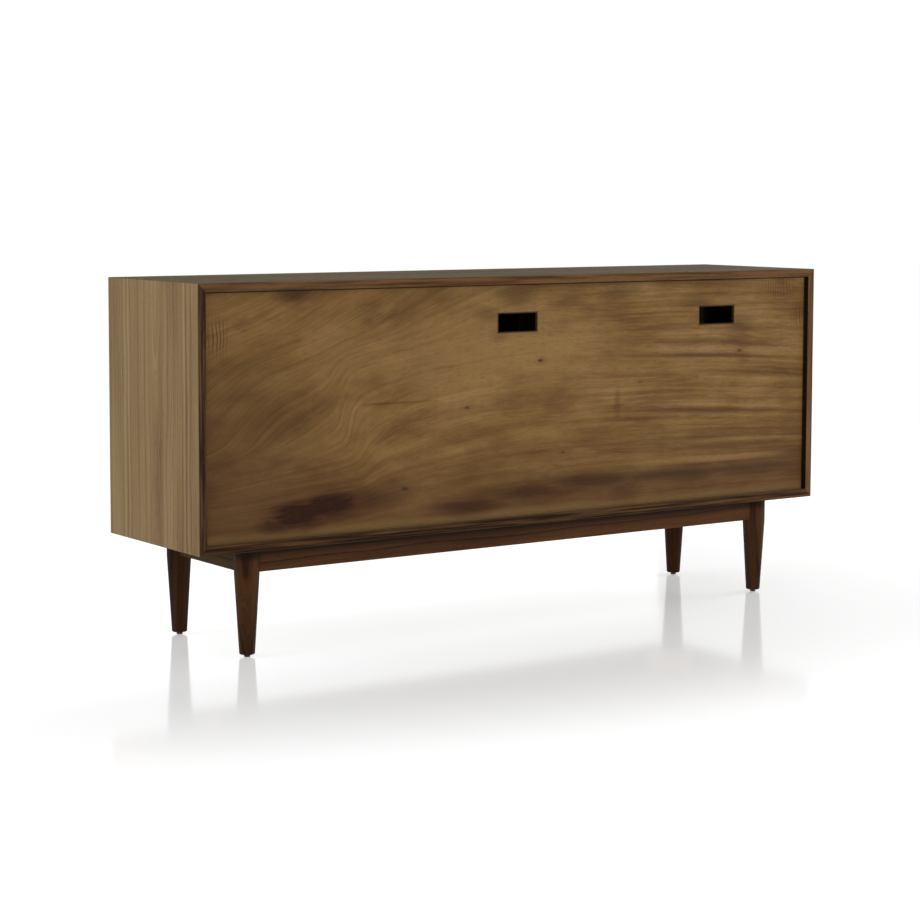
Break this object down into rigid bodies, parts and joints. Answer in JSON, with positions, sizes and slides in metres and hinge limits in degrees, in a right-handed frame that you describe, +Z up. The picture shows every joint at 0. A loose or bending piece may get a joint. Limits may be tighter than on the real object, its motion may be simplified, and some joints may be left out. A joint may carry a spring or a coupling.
{
  "type": "sideboard buffet",
  "caption": "Long low walnut buffet: mitred case on turned tapered legs, pivoted cupboard doors, a bank of drawers, shelves and cord cut-outs in the back.",
  "frame": {"origin": "on the floor under the middle of the case", "axes": "+Z up, doors and drawers face -Y, back panel faces +Y, +X along the case to the drawer end"},
  "size_m": [1.642, 0.393, 0.762],
  "materials": {
    "walnut_veneer": "satin lacquered walnut veneer",
    "walnut_back": "satin lacquered walnut veneer, figured",
    "walnut_solid": "satin lacquered solid walnut",
    "pale_hardwood": "satin lacquered hardwood",
    "plywood": "satin plywood",
    "zinc_steel": "bright zinc plate",
    "nickel_steel": "satin nickel plate",
    "brass": "satin",
    "black_nylon": "matte",
    "brown_plastic": "matte"
  },
  "bodies": {
    "case": {"top_panel": "walnut_veneer", "bottom_panel": "walnut_veneer", "left_end_panel": "walnut_veneer", "right_end_panel": "walnut_veneer", "mitre_splines": "plywood", "left_divider": "walnut_veneer", "right_divider": "walnut_veneer", "back_panel": "walnut_back", "left_shelf": "walnut_veneer", "centre_shelf": "walnut_veneer", "shelf_pins": "nickel_steel", "front_left_leg": "walnut_solid", "front_right_leg": "walnut_solid", "back_left_leg": "walnut_solid", "back_right_leg": "walnut_solid", "front_rail": "walnut_solid", "back_rail": "walnut_solid", "left_rail": "walnut_solid", "right_rail": "walnut_solid", "corner_blocks": "pale_hardwood", "leg_glides": "black_nylon", "pivot_bushes": "brass", "door_catches": "brown_plastic", "slide_cabinet_members": "zinc_steel"},
    "left_door": {"left_door_panel": "walnut_veneer", "left_door_pivots": "nickel_steel", "left_door_strike": "nickel_steel"},
    "centre_door": {"centre_door_panel": "walnut_veneer", "centre_door_pivots": "nickel_steel", "centre_door_strike": "nickel_steel"},
    "lower_drawer": {"lower_drawer_front": "walnut_veneer", "lower_drawer_left_side": "pale_hardwood", "lower_drawer_right_side": "pale_hardwood", "lower_drawer_back": "pale_hardwood", "lower_drawer_bottom": "plywood", "lower_drawer_slide_members": "zinc_steel"},
    "lower_slide_middle": {"lower_slide_middle_members": "zinc_steel"},
    "middle_drawer": {"middle_drawer_front": "walnut_veneer", "middle_drawer_left_side": "pale_hardwood", "middle_drawer_right_side": "pale_hardwood", "middle_drawer_back": "pale_hardwood", "middle_drawer_bottom": "plywood", "middle_drawer_slide_members": "zinc_steel"},
    "middle_slide_middle": {"middle_slide_middle_members": "zinc_steel"},
    "upper_drawer": {"upper_drawer_front": "walnut_veneer", "upper_drawer_left_side": "pale_hardwood", "upper_drawer_right_side": "pale_hardwood", "upper_drawer_back": "pale_hardwood", "upper_drawer_bottom": "plywood", "upper_drawer_slide_members": "zinc_steel"},
    "upper_slide_middle": {"upper_slide_middle_members": "zinc_steel"}
  },
  "joints": [
    {"name": "left_door_hinge", "type": "hinge", "parent": "case", "child": "left_door", "pos_m": [-0.792, -0.1875, 0.24], "axis": [0, 0, -1], "range_deg": [0, 90]},
    {"name": "centre_door_hinge", "type": "hinge", "parent": "case", "child": "centre_door", "pos_m": [0.3, -0.1875, 0.24], "axis": [0, 0, 1], "range_deg": [0, 90]},
    {"name": "lower_drawer_slide", "type": "slide", "parent": "case", "child": "lower_drawer", "axis": [0, -1, 0], "range_m": [0, 0.32]},
    {"name": "lower_slide_middle_slide", "type": "slide", "parent": "case", "child": "lower_slide_middle", "axis": [0, -1, 0], "range_m": [0, 0.16]},
    {"name": "middle_drawer_slide", "type": "slide", "parent": "case", "child": "middle_drawer", "axis": [0, -1, 0], "range_m": [0, 0.32]},
    {"name": "middle_slide_middle_slide", "type": "slide", "parent": "case", "child": "middle_slide_middle", "axis": [0, -1, 0], "range_m": [0, 0.16]},
    {"name": "upper_drawer_slide", "type": "slide", "parent": "case", "child": "upper_drawer", "axis": [0, -1, 0], "range_m": [0, 0.32]},
    {"name": "upper_slide_middle_slide", "type": "slide", "parent": "case", "child": "upper_slide_middle", "axis": [0, -1, 0], "range_m": [0, 0.16]}
  ],
  "couplings": [
    {"joint": "lower_slide_middle_slide", "follows": "lower_drawer_slide", "ratio": 0.5},
    {"joint": "middle_slide_middle_slide", "follows": "middle_drawer_slide", "ratio": 0.5},
    {"joint": "upper_slide_middle_slide", "follows": "upper_drawer_slide", "ratio": 0.5}
  ]
}
